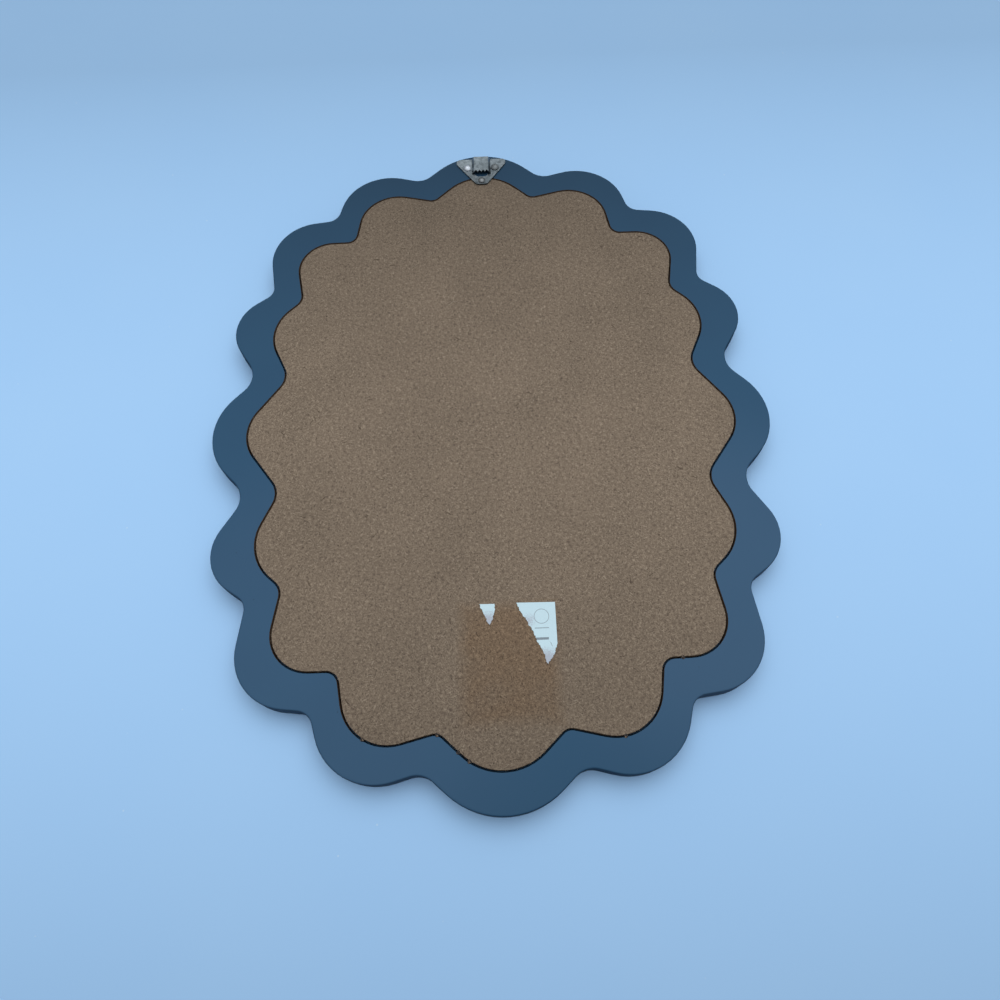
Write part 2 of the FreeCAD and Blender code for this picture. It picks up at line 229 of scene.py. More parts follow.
def sprayed_slate_lacquer():
    """Satin slate-blue lacquer, sprayed on fibreboard.

    It gives a smooth soft sheen with a faint orange peel, and a few dust nibs. It is painted
    darker towards both ends, as shade where the light falls off. The edges drank the coat and
    are duller, and the faces that turn sideways are also painted darker, as shade from the
    overhead light. Both sides have a faint pale painted sheen in the lower half. The pocket's
    routed wall has no paint and shows raw brown fibre.
    """
    material, tree, shader, place = new_finish("sprayed_slate_lacquer", 0.65)
    shader.inputs["Specular IOR Level"].default_value = 0.15
    cloud = add(
        tree,
        "ShaderNodeTexNoise",
        {"Vector": place, "Scale": 1 / (35 * MM), "Detail": 3.0, "Roughness": 0.5},
    )
    tone = add(
        tree,
        "ShaderNodeMix",
        {0: cloud.outputs["Fac"], 6: linear("2B4E6C"), 7: linear("2E5472")},
        data_type="RGBA",
    )

    # Dust nibs, up to 0.6 mm across, in the 9 mm cells.
    nibs = specks(
        tree, place, 9 * MM, rim=0.035, core=0.02, channel=0, rarest=0.0, commonest=1.0, depth=1.0
    )
    speckled = add(
        tree,
        "ShaderNodeMix",
        {0: nibs, 6: tone.outputs[2], 7: linear("1B384C")},
        data_type="RGBA",
    )

    # Painted shade: surfaces that turn sideways, the walls and rounded edges, are painted up to
    # half as dark, as they get less of the overhead light, and they are also duller. They are told
    # from the flat faces by how level the surface is.
    facing = add(tree, "ShaderNodeNewGeometry").outputs["Normal"]
    upright = add(tree, "ShaderNodeSeparateXYZ", {0: facing}).outputs[2]
    level = add(tree, "ShaderNodeMath", {0: upright}, operation="ABSOLUTE")
    tone_amount = add(
        tree, "ShaderNodeMapRange", {0: level.outputs[0], 1: 0.55, 2: 0.9, 3: 0.5, 4: 1.0}
    )
    side_shaded = add(
        tree,
        "ShaderNodeVectorMath",
        {0: speckled.outputs[2], 3: tone_amount.outputs[0]},
        operation="SCALE",
    )
    dullness = add(
        tree, "ShaderNodeMapRange", {0: tone_amount.outputs[0], 1: 0.5, 2: 1.0, 3: 0.95, 4: 0.65}
    )
    tree.links.new(dullness.outputs[0], shader.inputs["Roughness"])
    # Painted shade towards both ends, then a pale painted sheen on both sides.
    with_painted_light = painted_shade_ends(tree, place, side_shaded.outputs[0], LACQUER_PAINTED_SHADE)
    for x, y, even, reach, depth in PAINTED_SHEEN_SPOTS:
        away = add(
            tree,
            "ShaderNodeVectorMath",
            {0: place, 1: (x * MM, y * MM, BACK_Z)},
            operation="DISTANCE",
        )
        painted_sheen = add(
            tree,
            "ShaderNodeMapRange",
            {0: away.outputs["Value"], 1: even * MM, 2: reach * MM, 3: depth, 4: 0.0},
            interpolation_type="SMOOTHSTEP",
        )
        with_painted_light = add(
            tree,
            "ShaderNodeMix",
            {0: painted_sheen.outputs[0], 6: with_painted_light, 7: linear("ABBCDD")},
            data_type="RGBA",
        ).outputs[2]

    # The routed wall faces the middle of the mirror and lies behind the lip.
    inward = add(tree, "ShaderNodeVectorMath", {0: place, 1: facing}, operation="DOT_PRODUCT")
    height = add(tree, "ShaderNodeSeparateXYZ", {0: place}).outputs[2]
    behind = add(tree, "ShaderNodeMath", {0: height, 1: GLASS_FRONT_Z}, operation="GREATER_THAN")
    towards = add(
        tree, "ShaderNodeMath", {0: inward.outputs["Value"], 1: -10 * MM}, operation="LESS_THAN"
    )
    raw = add(
        tree,
        "ShaderNodeMath",
        {0: behind.outputs[0], 1: towards.outputs[0]},
        operation="MULTIPLY",
    )
    colour = add(
        tree,
        "ShaderNodeMix",
        {0: raw.outputs[0], 6: with_painted_light, 7: linear("6B5848")},
        data_type="RGBA",
    )
    peel = add(
        tree,
        "ShaderNodeTexNoise",
        {"Vector": place, "Scale": 1 / (1.6 * MM), "Detail": 2.0},
    )
    relief = add(
        tree,
        "ShaderNodeBump",
        {"Strength": 0.25, "Distance": 0.03 * MM, "Height": peel.outputs["Fac"]},
    )
    tree.links.new(colour.outputs[2], shader.inputs["Base Color"])
    tree.links.new(relief.outputs[0], shader.inputs["Normal"])
    return material


def soft_rectangle(tree, place, left, right, foot, top, blur):
    """How far a place is inside a rectangle, from 0 outside to 1 inside, with soft edges."""
    split = add(tree, "ShaderNodeSeparateXYZ", {0: place})
    outside = None
    for axis, low, high in ((0, left, right), (1, foot, top)):
        from_middle = add(
            tree,
            "ShaderNodeMath",
            {0: split.outputs[axis], 1: (low + high) / 2},
            operation="SUBTRACT",
        )
        size = add(tree, "ShaderNodeMath", {0: from_middle.outputs[0]}, operation="ABSOLUTE")
        beyond = add(
            tree,
            "ShaderNodeMath",
            {0: size.outputs[0], 1: (high - low) / 2},
            operation="SUBTRACT",
        ).outputs[0]
        if outside is not None:
            beyond = add(
                tree, "ShaderNodeMath", {0: outside, 1: beyond}, operation="MAXIMUM"
            ).outputs[0]
        outside = beyond
    return add(
        tree, "ShaderNodeMapRange", {0: outside, 1: blur / 2, 2: -blur / 2, 3: 0.0, 4: 1.0}
    ).outputs[0]


def pressed_hardboard():
    """Raw hardboard: wood fibres pressed flat, so it is matt, mottled and faintly hairy.

    It has short pale fibres every way, fine dark pepper, a few larger bark specks, and a
    redder patch where the label's glue soaked in. Both ends are painted a little darker, as
    shade where the light falls off.
    """
    material, tree, shader, place = new_finish("pressed_hardboard", 0.85)
    shader.inputs["Specular IOR Level"].default_value = 0.25
    cloud = add(
        tree,
        "ShaderNodeTexNoise",
        {"Vector": place, "Scale": 1 / (28 * MM), "Detail": 3.0, "Roughness": 0.55},
    )
    grain = add(
        tree,
        "ShaderNodeTexNoise",
        {"Vector": place, "Scale": 1 / (0.85 * MM), "Detail": 4.0, "Roughness": 0.75},
    )

    # Fibres: streaks about 1.8 mm long and 0.45 mm wide, bent a little, in three directions.
    # Each direction reads a part of the noise of its own, 50 mm further on.
    bend = add(
        tree,
        "ShaderNodeTexNoise",
        {"Vector": place, "Scale": 1 / (3 * MM), "Detail": 1.0},
    )
    bent = add(
        tree,
        "ShaderNodeVectorMath",
        {0: bend.outputs["Color"], 1: (FIBRE_BEND, FIBRE_BEND, 0.0), 2: place},
        operation="MULTIPLY_ADD",
    )
    fibres, felt = None, grain.outputs["Fac"]
    for number, degrees in enumerate((14, 71, 133)):
        along = add(
            tree,
            "ShaderNodeMapping",
            {
                "Vector": bent.outputs[0],
                "Location": (number * 50 * MM, 0.0, 0.0),
                "Rotation": (0.0, 0.0, math.radians(degrees)),
                "Scale": (1.8 * MM, 0.45 * MM, 3 * MM),
            },
            vector_type="TEXTURE",
        )
        streak = add(
            tree,
            "ShaderNodeTexNoise",
            {"Vector": along.outputs[0], "Scale": 1.0, "Detail": 1.0},
        )
        thread = add(
            tree,
            "ShaderNodeMapRange",
            {0: streak.outputs["Fac"], 1: 0.66, 2: 0.76, 3: 0.0, 4: 1.0},
        ).outputs[0]
        felt = add(
            tree, "ShaderNodeMath", {0: felt, 1: streak.outputs["Fac"]}, operation="ADD"
        ).outputs[0]
        if fibres is not None:
            thread = add(
                tree, "ShaderNodeMath", {0: fibres, 1: thread}, operation="MAXIMUM"
            ).outputs[0]
        fibres = thread
    felt_spread = add(
        tree, "ShaderNodeMapRange", {0: felt, 1: FELT_DARK, 2: FELT_PALE, 3: 0.0, 4: 1.0}
    )
    base = add(
        tree,
        "ShaderNodeMix",
        {0: felt_spread.outputs[0], 6: linear("5B4F45"), 7: linear("8F8170")},
        data_type="RGBA",
    )
    cloud_spread = add(
        tree, "ShaderNodeMapRange", {0: cloud.outputs["Fac"], 1: 0.3, 2: 0.7, 3: 0.92, 4: 1.07}
    )
    mottled = add(
        tree,
        "ShaderNodeVectorMath",
        {0: base.outputs[2], 3: cloud_spread.outputs[0]},
        operation="SCALE",
    )
    fibre_depth = add(tree, "ShaderNodeMath", {0: fibres, 1: 0.45}, operation="MULTIPLY")
    fibred = add(
        tree,
        "ShaderNodeMix",
        {0: fibre_depth.outputs[0], 6: mottled.outputs[0], 7: linear("AA9E8E")},
        data_type="RGBA",
    )

    # Pepper: dark grains up to 0.6 mm across, in fewer than half of the 1.3 mm cells.
    pepper = specks(
        tree, place, 1.3 * MM, rim=0.24, core=0.12, channel=0, rarest=0.6, commonest=0.9, depth=0.85
    )
    peppered = add(
        tree,
        "ShaderNodeMix",
        {0: pepper, 6: fibred.outputs[2], 7: linear("40362D")},
        data_type="RGBA",
    )

    # Bark specks, up to 1 mm across, in half of the 5 mm cells.
    bark = specks(
        tree,
        bent.outputs[0],
        5 * MM,
        rim=0.1,
        core=0.04,
        channel=1,
        rarest=0.5,
        commonest=0.9,
        depth=0.8,
    )
    barked = add(
        tree,
        "ShaderNodeMix",
        {0: bark, 6: peppered.outputs[2], 7: linear("33271C")},
        data_type="RGBA",
    )

    patch = soft_rectangle(
        tree,
        bent.outputs[0],
        LABEL_LEFT * MM,
        LABEL_RIGHT * MM,
        LABEL_FOOT * MM,
        LABEL_TOP * MM,
        6 * MM,
    )
    soak = add(
        tree,
        "ShaderNodeMapRange",
        {0: cloud.outputs["Fac"], 1: 0.35, 2: 0.6, 3: 0.4, 4: 1.0},
    )
    tone_amount = add(
        tree, "ShaderNodeMath", {0: patch, 1: soak.outputs[0]}, operation="MULTIPLY"
    )
    stained = add(
        tree,
        "ShaderNodeMix",
        {0: tone_amount.outputs[0], 6: barked.outputs[2], 7: linear("F3E7DA")},
        data_type="RGBA",
        blend_type="MULTIPLY",
    )
    # Painted shade: the board is painted darker towards both ends, where the light falls off.
    with_painted_light = painted_shade_ends(tree, place, stained.outputs[2], BOARD_PAINTED_SHADE)
    relief_height = add(
        tree,
        "ShaderNodeMath",
        {0: fibres, 1: 0.6, 2: felt_spread.outputs[0]},
        operation="MULTIPLY_ADD",
    )
    relief = add(
        tree,
        "ShaderNodeBump",
        {"Strength": 0.5, "Distance": 0.08 * MM, "Height": relief_height.outputs[0]},
    )
    tree.links.new(with_painted_light, shader.inputs["Base Color"])
    tree.links.new(relief.outputs[0], shader.inputs["Normal"])
    return material


def silvered_glass():
    """Float glass with silver behind it: a mirror in front, grey protective paint behind.

    The cut edge is green and dull from the grinding.
    """
    material, tree, shader, place = new_finish("silvered_glass", 0.03, 1.0)
    facing = add(tree, "ShaderNodeNewGeometry").outputs["Normal"]
    up = add(tree, "ShaderNodeSeparateXYZ", {0: facing}).outputs[2]
    front = add(tree, "ShaderNodeMath", {0: up, 1: -0.5}, operation="LESS_THAN")
    back = add(tree, "ShaderNodeMath", {0: up, 1: 0.5}, operation="GREATER_THAN")
    haze = add(
        tree,
        "ShaderNodeTexNoise",
        {"Vector": place, "Scale": 1 / (12 * MM), "Detail": 4.0},
    )
    paint = add(
        tree,
        "ShaderNodeMix",
        {0: haze.outputs["Fac"], 6: linear("5E6466"), 7: linear("6E7477")},
        data_type="RGBA",
    )
    unlit = add(
        tree,
        "ShaderNodeMix",
        {0: back.outputs[0], 6: linear("5C7D70"), 7: paint.outputs[2]},
        data_type="RGBA",
    )
    colour = add(
        tree,
        "ShaderNodeMix",
        {0: front.outputs[0], 6: unlit.outputs[2], 7: linear("E6EBE9")},
        data_type="RGBA",
    )
    smear = add(
        tree,
        "ShaderNodeMapRange",
        {0: haze.outputs["Fac"], 1: 0.3, 2: 0.8, 3: 0.02, 4: 0.05},
    )
    roughness = add(
        tree, "ShaderNodeMix", {0: front.outputs[0], 2: 0.6, 3: smear.outputs[0]}
    )
    tree.links.new(colour.outputs[2], shader.inputs["Base Color"])
    tree.links.new(front.outputs[0], shader.inputs["Metallic"])
    tree.links.new(roughness.outputs[0], shader.inputs["Roughness"])
    return material


def zinc_plate(name, pale, dark, roughness):
    """Bright zinc on stamped steel: a grey metal with a faint crystal mottle and rub marks.

    It is painted darker towards the hanger's lower corner, and a little to the right, as shade
    where the metal reflects less light.
    """
    material, tree, shader, place = new_finish(name, roughness, 1.0)
    crystals = add(tree, "ShaderNodeTexVoronoi", {"Vector": place, "Scale": 1 / (1.4 * MM)})
    shade = add(tree, "ShaderNodeSeparateColor", {0: crystals.outputs["Color"]})
    tarnish = add(
        tree,
        "ShaderNodeTexNoise",
        {"Vector": place, "Scale": 1 / (4 * MM), "Detail": 5.0, "Roughness": 0.6},
    )
    mottle = add(
        tree,
        "ShaderNodeMath",
        {0: shade.outputs[0], 1: 0.35, 2: tarnish.outputs["Fac"]},
        operation="MULTIPLY_ADD",
    )
    spread = add(
        tree, "ShaderNodeMapRange", {0: mottle.outputs[0], 1: 0.4, 2: 0.95, 3: 0.0, 4: 1.0}
    )
    colour = add(
        tree,
        "ShaderNodeMix",
        {0: spread.outputs[0], 6: linear(dark), 7: linear(pale)},
        data_type="RGBA",
    )
    # Painted shade: the metal is painted darker towards the lower corner and to the right.
    lower = painted_shade_ends(tree, place, colour.outputs[2], ZINC_PAINTED_SHADE_DOWN)
    with_painted_light = painted_shade_ends(tree, place, lower, ZINC_PAINTED_SHADE_RIGHT, axis=0)
    dullness = add(
        tree,
        "ShaderNodeMapRange",
        {0: tarnish.outputs["Fac"], 1: 0.3, 2: 0.7, 3: roughness - 0.08, 4: roughness + 0.1},
    )
    rub = add(
        tree,
        "ShaderNodeMapping",
        {"Vector": place, "Scale": (1 / (5 * MM), 1 / (0.15 * MM), 1 / (0.15 * MM))},
    )
    scratches = add(tree, "ShaderNodeTexNoise", {"Vector": rub.outputs[0], "Scale": 1.0})
    relief = add(
        tree,
        "ShaderNodeBump",
        {"Strength": 0.15, "Distance": 0.02 * MM, "Height": scratches.outputs["Fac"]},
    )
    tree.links.new(with_painted_light, shader.inputs["Base Color"])
    tree.links.new(dullness.outputs[0], shader.inputs["Roughness"])
    tree.links.new(relief.outputs[0], shader.inputs["Normal"])
    return material


def hot_melt_glue():
    """Hot-melt glue, set in strings: dark and waxy, with tan crumbs of the board in it."""
    material, tree, shader, place = new_finish("hot_melt_glue", 0.6)
    shader.inputs["Specular IOR Level"].default_value = 0.2
    dust = add(
        tree,
        "ShaderNodeTexNoise",
        {"Vector": place, "Scale": 1 / (0.5 * MM), "Detail": 3.0},
    )
    crumbs = add(
        tree, "ShaderNodeMapRange", {0: dust.outputs["Fac"], 1: 0.52, 2: 0.66, 3: 0.0, 4: 1.0}
    )
    colour = add(
        tree,
        "ShaderNodeMix",
        {0: crumbs.outputs[0], 6: linear("1F1D1F"), 7: linear("85735F")},
        data_type="RGBA",
    )
    relief = add(
        tree,
        "ShaderNodeBump",
        {"Strength": 0.4, "Distance": 0.05 * MM, "Height": dust.outputs["Fac"]},
    )
    tree.links.new(colour.outputs[2], shader.inputs["Base Color"])
    tree.links.new(relief.outputs[0], shader.inputs["Normal"])
    return material


def coated_label_paper():
    """Coated label paper: matt white on its face, with a ring and two dashes in grey ink.

    Where the face peeled off near the tips, the grey glued ply below shows through.
    """
    material, tree, shader, place = new_finish("coated_label_paper", 0.6)
    pulp = add(
        tree,
        "ShaderNodeTexNoise",
        {"Vector": place, "Scale": 1 / (0.6 * MM), "Detail": 4.0, "Roughness": 0.7},
    )
    white = add(
        tree,
        "ShaderNodeMix",
        {0: pulp.outputs["Fac"], 6: linear("B4D2DE"), 7: linear("C8E3EF")},
        data_type="RGBA",
    )

    # The ring: how far a place is from the ring's line, against the line's half width.
    flat = add(
        tree,
        "ShaderNodeVectorMath",
        {0: place, 1: (RING_CENTRE[0] * MM, RING_CENTRE[1] * MM, BACK_Z)},
        operation="SUBTRACT",
    )
    reach = add(tree, "ShaderNodeVectorMath", {0: flat.outputs[0]}, operation="LENGTH")
    off_ring = add(
        tree,
        "ShaderNodeMath",
        {0: reach.outputs["Value"], 1: RING_RADIUS * MM},
        operation="SUBTRACT",
    )
    ring_gap = add(tree, "ShaderNodeMath", {0: off_ring.outputs[0]}, operation="ABSOLUTE")
    ring = add(
        tree,
        "ShaderNodeMapRange",
        {0: ring_gap.outputs[0], 1: RING_LINE * MM, 2: RING_LINE * MM / 2, 3: 0.0, 4: 0.6},
    )
    ink = ring.outputs[0]
    for (x, y, half_length, half_height), depth in ((THIN_DASH, 0.6), (THICK_DASH, 0.8)):
        dash = soft_rectangle(
            tree,
            place,
            (x - half_length) * MM,
            (x + half_length) * MM,
            (y - half_height) * MM,
            (y + half_height) * MM,
            0.12 * MM,
        )
        dash_depth = add(tree, "ShaderNodeMath", {0: dash, 1: depth}, operation="MULTIPLY")
        ink = add(
            tree, "ShaderNodeMath", {0: ink, 1: dash_depth.outputs[0]}, operation="MAXIMUM"
        ).outputs[0]
    printed = add(
        tree,
        "ShaderNodeMix",
        {0: ink, 6: white.outputs[2], 7: linear("5B6470")},
        data_type="RGBA",
    )

    # The bare ply is fibrous, so it shows in patches 0.7 mm across where the paper is worn.
    wear = add(tree, "ShaderNodeAttribute", attribute_name="worn")
    patches = add(
        tree,
        "ShaderNodeMath",
        {0: pulp.outputs["Fac"], 1: 1.6, 2: -0.8},
        operation="MULTIPLY_ADD",
    )
    bared = add(
        tree, "ShaderNodeMath", {0: wear.outputs["Fac"], 1: patches.outputs[0]}, operation="ADD"
    )
    bare = add(
        tree, "ShaderNodeMapRange", {0: bared.outputs[0], 1: 0.25, 2: 0.75, 3: 0.0, 4: 0.9}
    )
    torn = add(
        tree,
        "ShaderNodeMix",
        {0: bare.outputs[0], 6: printed.outputs[2], 7: linear("A3ABBA")},
        data_type="RGBA",
    )
    relief = add(
        tree,
        "ShaderNodeBump",
        {"Strength": 0.3, "Distance": 0.03 * MM, "Height": pulp.outputs["Fac"]},
    )
    tree.links.new(torn.outputs[2], shader.inputs["Base Color"])
    tree.links.new(relief.outputs[0], shader.inputs["Normal"])
    return material


def foam_tape():
    """White closed-cell foam: matt, with cells about 0.4 mm across."""
    material, tree, shader, place = new_finish("foam_tape", 0.9)
    cells = add(tree, "ShaderNodeTexVoronoi", {"Vector": place, "Scale": 1 / (0.4 * MM)})
    colour = add(
        tree,
        "ShaderNodeMix",
        {0: cells.outputs["Distance"], 6: linear("BFC2C0"), 7: linear("E6E8E6")},
        data_type="RGBA",
    )
    relief = add(
        tree,
        "ShaderNodeBump",
        {"Strength": 0.5, "Distance": 0.1 * MM, "Height": cells.outputs["Distance"]},
    )
    tree.links.new(colour.outputs[2], shader.inputs["Base Color"])
    tree.links.new(relief.outputs[0], shader.inputs["Normal"])
    return material


def loose_wood_fibre():
    """Wood fibre rubbed off the hardboard: dull brown and grey, with a few pale straws."""
    material, tree, shader, place = new_finish("loose_wood_fibre", 0.9)
    shader.inputs["Specular IOR Level"].default_value = 0.2
    pick = add(tree, "ShaderNodeTexVoronoi", {"Vector": place, "Scale": 1 / (4 * MM)})
    shade = add(tree, "ShaderNodeSeparateColor", {0: pick.outputs["Color"]})
    straw = add(
        tree, "ShaderNodeMapRange", {0: shade.outputs[0], 1: 0.55, 2: 0.95, 3: 0.0, 4: 1.0}
    )
    colour = add(
        tree,
        "ShaderNodeMix",
        {0: straw.outputs[0], 6: linear("564A3E"), 7: linear("A79C8B")},
        data_type="RGBA",
    )
    tree.links.new(colour.outputs[2], shader.inputs["Base Color"])
    return material


lacquer = sprayed_slate_lacquer()
hardboard = pressed_hardboard()
mirror = silvered_glass()
hanger_zinc = zinc_plate("zinc_plated_sheet", "929EA5", "5F696F", 0.45)
tack_zinc = zinc_plate("zinc_plated_tack", "ABB1B4", "858B90", 0.46)
# Both nails are the same zinc: the left one's paler colour is a painted highlight, and the right
# one's darker colour is painted shade; the right one is also rougher.
nail_zinc_painted_highlight = zinc_plate("zinc_nail_painted_highlight", "DCE5EF", "ADB8C3", 0.44)
nail_zinc_painted_shade = zinc_plate("zinc_nail_painted_shade", "9AA2A6", "727A7E", 0.6)
glue = hot_melt_glue()
paper = coated_label_paper()
foam = foam_tape()
fibre = loose_wood_fibre()

# The finish of each CAD node, by how the node's name starts.
FINISHES = {
    "frame": lacquer,
    "mirror_glass": mirror,
    "backing_board": hardboard,
    "sawtooth_hanger": hanger_zinc,
    "hanger_tack": tack_zinc,
    # The two nails get lit and shaded copies of one zinc: a painted highlight and painted shade.
    "hanger_nail_left": nail_zinc_painted_highlight,
    "hanger_nail_right": nail_zinc_painted_shade,
    "foam_pad": foam,
    "glue_dab": glue,
    "label_scrap": paper,
}
for node, piece in nodes.items():
    for start, finish in FINISHES.items():
        if node.startswith(start):
            for slot in piece.material_slots:
                slot.material = finish


def plain_piece(name, mesh, material):
    """An object at the origin with a mesh and its material."""
    mesh.materials.clear()
    mesh.materials.append(material)
    piece = bpy.data.objects.new(name, mesh)
    bpy.context.scene.collection.objects.link(piece)
    return piece


def torn_outline(corners, dice):
    """A scrap's outline in millimetres: straight where it was cut, ragged where it tore."""
    outline = []
    for (start, is_cut), (end, _) in zip(corners, corners[1:] + corners[:1]):
        start, end = Vector(start), Vector(end)
        outline.append(start)
        if is_cut:
            continue
        steps = max(2, round((end - start).length / TEAR_STEP))
        across = (end - start).normalized().orthogonal()
        drift = 0.0
        for step in range(1, steps):
            drift = TEAR_MEMORY * drift + dice.uniform(-TEAR_DEPTH, TEAR_DEPTH)
            fade = math.sin(math.pi * step / steps) ** 0.5
            outline.append(start.lerp(end, step / steps) + across * drift * fade)
    return outline


def make_scrap(name, node, corners, bare_spots, seed):
    """A scrap of the label: its tip is lifted a little and worn down to the grey ply."""
    dice = random.Random(seed)
    sheet = bmesh.new()
    points = [(p.x * MM, p.y * MM, 0.0) for p in torn_outline(corners, dice)]
    sheet.faces.new([sheet.verts.new(point) for point in points])

    # Cuts along both axes, so that the sheet can bend.
    for axis, across in ((0, (1, 0, 0)), (1, (0, 1, 0))):
        low, high = min(p[axis] for p in points), max(p[axis] for p in points)
        line = low + BEND_STEP
        while line < high:
            spot = [0.0, 0.0, 0.0]
            spot[axis] = line
            everything = sheet.verts[:] + sheet.edges[:] + sheet.faces[:]
            bmesh.ops.bisect_plane(sheet, geom=everything, plane_co=spot, plane_no=across)
            line += BEND_STEP
    bmesh.ops.triangulate(sheet, faces=sheet.faces[:])

    worn = sheet.verts.layers.float.new("worn")
    tip = bare_spots[0][0]
    for vert in sheet.verts:
        spot = vert.co.x / MM, vert.co.y / MM
        vert[worn] = max(
            depth * min(1.0, max(0.0, (reach - math.dist(spot, middle)) / (reach - bare)))
            for middle, reach, bare, depth in bare_spots
        )
        lift = max(0.0, 1 - math.dist(spot, tip) / TIP_LIFT_REACH) ** 2 * TIP_LIFT
        vert.co.z = BACK_Z + (LABEL_PLY + lift) * MM

    # The underside stays a little above the board, so that the two never share a face.
    under = bmesh.ops.extrude_face_region(sheet, geom=sheet.faces[:])
    for item in under["geom"]:
        if isinstance(item, bmesh.types.BMVert):
            item.co.z -= SHEET_SHARE * LABEL_PLY * MM
    bmesh.ops.recalc_face_normals(sheet, faces=sheet.faces[:])
    mesh = bpy.data.meshes.new(name)
    sheet.to_mesh(mesh)
    sheet.free()
    scrap = plain_piece(name, mesh, paper)
    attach(scrap, "root")
    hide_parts(node)


def make_fibre_tree():
    """Scatters bent fibres over the upward faces of a board and along the rim of its back."""
    tree = bpy.data.node_groups.new("loose_fibres", "GeometryNodeTree")
    face = tree.interface
    face.new_socket("Board", in_out="INPUT", socket_type="NodeSocketGeometry")
    for name in ("Fibres per square metre", "Rim spacing", "Shortest", "Longest", "Slimness"):
        face.new_socket(name, in_out="INPUT", socket_type="NodeSocketFloat")
    face.new_socket("Fibres", in_out="OUTPUT", socket_type="NodeSocketGeometry")
    given = add(tree, "NodeGroupInput").outputs

    # One fibre, 1 long and slightly bent, which is scaled to its length.
    spine = add(
        tree,
        "GeometryNodeCurvePrimitiveBezierSegment",
        {
            "Resolution": 4,
            "Start": (-0.5, 0.0, 0.0),
            "Start Handle": (-0.2, 0.28, 0.03),
            "End Handle": (0.2, -0.22, 0.05),
            "End": (0.5, 0.08, 0.0),
        },
    )
    section = add(
        tree,
        "GeometryNodeCurvePrimitiveCircle",
        {"Resolution": 4, "Radius": given["Slimness"]},
    )
    thread = add(
        tree,
        "GeometryNodeCurveToMesh",
        {"Curve": spine.outputs[0], "Profile Curve": section.outputs[0], "Fill Caps": True},
    )

    # Places on the back's flat face.
    normal = add(tree, "GeometryNodeInputNormal")
    split = add(tree, "ShaderNodeSeparateXYZ", {0: normal.outputs[0]})
    upward = add(
        tree,
        "FunctionNodeCompare",
        {0: split.outputs[2], 1: 0.9},
        operation="GREATER_THAN",
        data_type="FLOAT",
    )
    on_face = add(
        tree,
        "GeometryNodeDistributePointsOnFaces",
        {
            "Mesh": given["Board"],
            "Selection": upward.outputs[0],
            "Density": given["Fibres per square metre"],
            "Seed": 5,
        },
    )

    # Places along the rim, where the flat back meets the cut edge.
    angle = add(tree, "GeometryNodeInputMeshEdgeAngle")
    sharp = add(
        tree,
        "FunctionNodeCompare",
        {0: angle.outputs["Unsigned Angle"], 1: math.radians(60)},
        operation="GREATER_THAN",
        data_type="FLOAT",
    )
    position = add(tree, "GeometryNodeInputPosition")
    height = add(tree, "ShaderNodeSeparateXYZ", {0: position.outputs[0]})
    at_back = add(
        tree,
        "FunctionNodeCompare",
        {0: height.outputs[2], 1: BACK_Z - 0.1 * MM},
        operation="GREATER_THAN",
        data_type="FLOAT",
    )
    rim_edges = add(
        tree,
        "FunctionNodeBooleanMath",
        {0: sharp.outputs[0], 1: at_back.outputs[0]},
        operation="AND",
    )
    rim = add(
        tree,
        "GeometryNodeMeshToCurve",
        {"Mesh": given["Board"], "Selection": rim_edges.outputs[0]},
    )
    on_rim = add(
        tree,
        "GeometryNodeCurveToPoints",
        {"Curve": rim.outputs[0], "Length": given["Rim spacing"]},
        mode="LENGTH",
    )

    # Fibres on the face lie down, and those at the rim also stand away from it.
    scattered = []
    for places, tilt, share, seed in ((on_face, 5, 1.0, 11), (on_rim, 28, 0.35, 23)):
        steep = math.radians(tilt)
        turn = add(
            tree,
            "FunctionNodeRandomValue",
            {0: (-steep, -steep, 0.0), 1: (steep, steep, 2 * math.pi), "Seed": seed},
            data_type="FLOAT_VECTOR",
        )
        size = add(
            tree,
            "FunctionNodeRandomValue",
            {2: given["Shortest"], 3: given["Longest"], "Seed": seed + 1},
            data_type="FLOAT",
        )
        scaled = add(
            tree, "ShaderNodeMath", {0: size.outputs[1], 1: share}, operation="MULTIPLY"
        )
        put = add(
            tree,
            "GeometryNodeInstanceOnPoints",
            {
                "Points": places.outputs["Points"],
                "Instance": thread.outputs[0],
                "Rotation": turn.outputs[0],
                "Scale": scaled.outputs[0],
            },
        )
        scattered.append(put.outputs[0])
    together = add(tree, "GeometryNodeJoinGeometry")
    for geometry in scattered:
        tree.links.new(geometry, together.inputs[0])
    real = add(tree, "GeometryNodeRealizeInstances", {0: together.outputs[0]})
    coloured = add(
        tree, "GeometryNodeSetMaterial", {"Geometry": real.outputs[0], "Material": fibre}
    )
    add(tree, "NodeGroupOutput", {0: coloured.outputs[0]})
    return tree


def make_fibres():
    """Fibres rubbed off the hardboard, which lie on it and stick out of its cut rim."""
    joined = bmesh.new()
    joined.from_mesh(nodes["backing_board"].data)
    bmesh.ops.remove_doubles(joined, verts=joined.verts[:], dist=0.001 * MM)
    mesh = bpy.data.meshes.new("board_for_fibres")
    joined.to_mesh(mesh)
    joined.free()
    board = plain_piece("board_for_fibres", mesh, fibre)
    modifier = board.modifiers.new("loose_fibres", "NODES")
    modifier.node_group = make_fibre_tree()
    sizes = {
        "Fibres per square metre": FIBRES_PER_SQUARE_METRE,
        "Rim spacing": RIM_FIBRE_SPACING,
        "Shortest": 1.0 * MM,
        "Longest": 3.4 * MM,
        "Slimness": 0.035,
    }
    for socket in modifier.node_group.interface.items_tree:
        if socket.name in sizes:
            modifier[socket.identifier] = sizes[socket.name]
    evaluated = board.evaluated_get(bpy.context.evaluated_depsgraph_get())
    mesh = bpy.data.meshes.new_from_object(evaluated)
    bpy.data.objects.remove(board)
    fibres = plain_piece("loose_fibres", mesh, fibre)
    mesh.name = "loose_fibres"
    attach(fibres, "root")


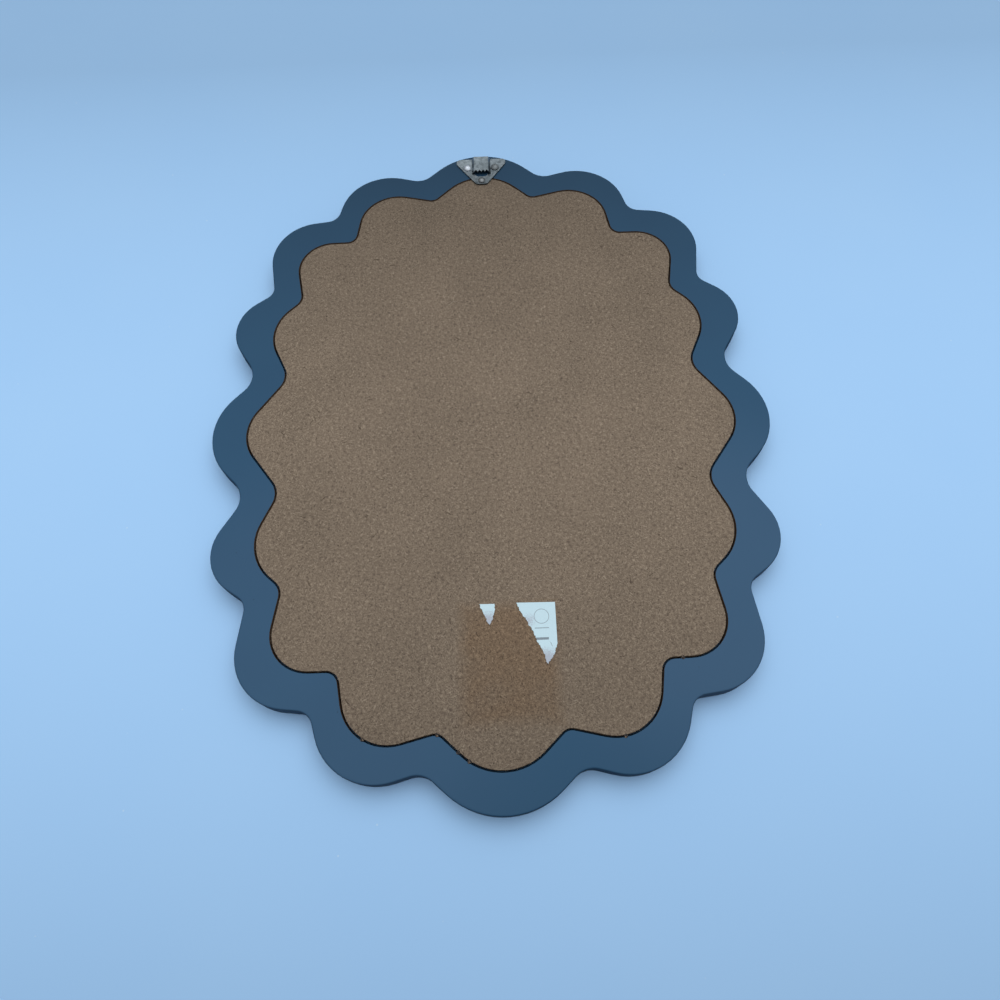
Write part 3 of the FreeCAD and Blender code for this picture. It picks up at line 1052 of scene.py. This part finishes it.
def make_table():
    """The pale table top that the mirror lies on, and its colour."""
    material, tree, shader, place = new_finish("pale_table_top", 0.55)
    shader.inputs["Specular IOR Level"].default_value = 0.2
    spread = add(
        tree,
        "ShaderNodeTexNoise",
        {"Vector": place, "Scale": 1 / (90 * MM), "Detail": 2.0},
    )
    top = add(
        tree,
        "ShaderNodeMix",
        {0: spread.outputs["Fac"], 6: linear("A0CCF8"), 7: linear("A5CFF8")},
        data_type="RGBA",
    )
    crumb = add(tree, "ShaderNodeTexVoronoi", {"Vector": place, "Scale": 1 / (16 * MM)})
    crumb_size = add(
        tree,
        "ShaderNodeMapRange",
        {0: crumb.outputs["Distance"], 1: 0.03, 2: 0.015, 3: 0.0, 4: 0.5},
    )
    colour = add(
        tree,
        "ShaderNodeMix",
        {0: crumb_size.outputs[0], 6: top.outputs[2], 7: linear("CFE4F8")},
        data_type="RGBA",
    )
    # Painted shade: the table is painted darker towards both ends of its length, where the light
    # falls off, and this stops changing TABLE_SHADE_REACH from the middle.
    near = add(tree, "ShaderNodeVectorMath", {0: place, 1: TABLE_SHADE_REACH}, operation="MINIMUM")
    seen = add(
        tree,
        "ShaderNodeVectorMath",
        {0: near.outputs[0], 1: [-reach for reach in TABLE_SHADE_REACH]},
        operation="MAXIMUM",
    )
    with_painted_light = painted_shade_ends(tree, seen.outputs[0], colour.outputs[2], TABLE_PAINTED_SHADE)
    tree.links.new(with_painted_light, shader.inputs["Base Color"])
    bpy.ops.mesh.primitive_plane_add(size=TABLE_SIZE, location=(0.0, 0.0, -TABLE_GAP))
    table = bpy.context.object
    table.name = "table_top"
    table.data.materials.append(material)


def make_light():
    """Soft studio light from overhead, a little from the far end and the right."""
    world = bpy.data.worlds.new("soft_overhead_light")
    world.use_nodes = True
    tree = world.node_tree
    background = tree.nodes["Background"]
    background.inputs["Color"].default_value = (1.0, 1.0, 1.0, 1.0)
    direction = add(tree, "ShaderNodeTexCoord").outputs["Generated"]
    towards = add(
        tree,
        "ShaderNodeVectorMath",
        {0: direction, 1: GLOW_DIRECTION},
        operation="DOT_PRODUCT",
    )
    glow = add(
        tree,
        "ShaderNodeMapRange",
        {
            0: towards.outputs["Value"],
            1: GLOW_STARTS,
            2: 1.0,
            3: ROOM_DIMMEST,
            4: ROOM_BRIGHTEST,
        },
        interpolation_type="SMOOTHSTEP",
    )
    tree.links.new(glow.outputs[0], background.inputs["Strength"])
    bpy.context.scene.world = world


def make_camera():
    """The camera where the photograph was taken from."""
    data = bpy.data.cameras.new("camera")
    data.lens = LENS_MM
    data.sensor_width = SENSOR_MM
    data.clip_start = 0.01
    camera = bpy.data.objects.new("camera", data)
    camera.location = CAMERA_PLACE
    camera.rotation_euler = Euler([math.radians(turn) for turn in CAMERA_TURN_DEGREES])
    bpy.context.scene.collection.objects.link(camera)
    bpy.context.scene.camera = camera


make_scrap("torn_label_large", "label_scrap_large", LARGE_SCRAP, LARGE_BARE_SPOTS, 3)
make_scrap("torn_label_small", "label_scrap_small", SMALL_SCRAP, SMALL_BARE_SPOTS, 8)
make_fibres()
make_table()
make_light()
make_camera()
bpy.context.scene.view_settings.view_transform = "Standard"
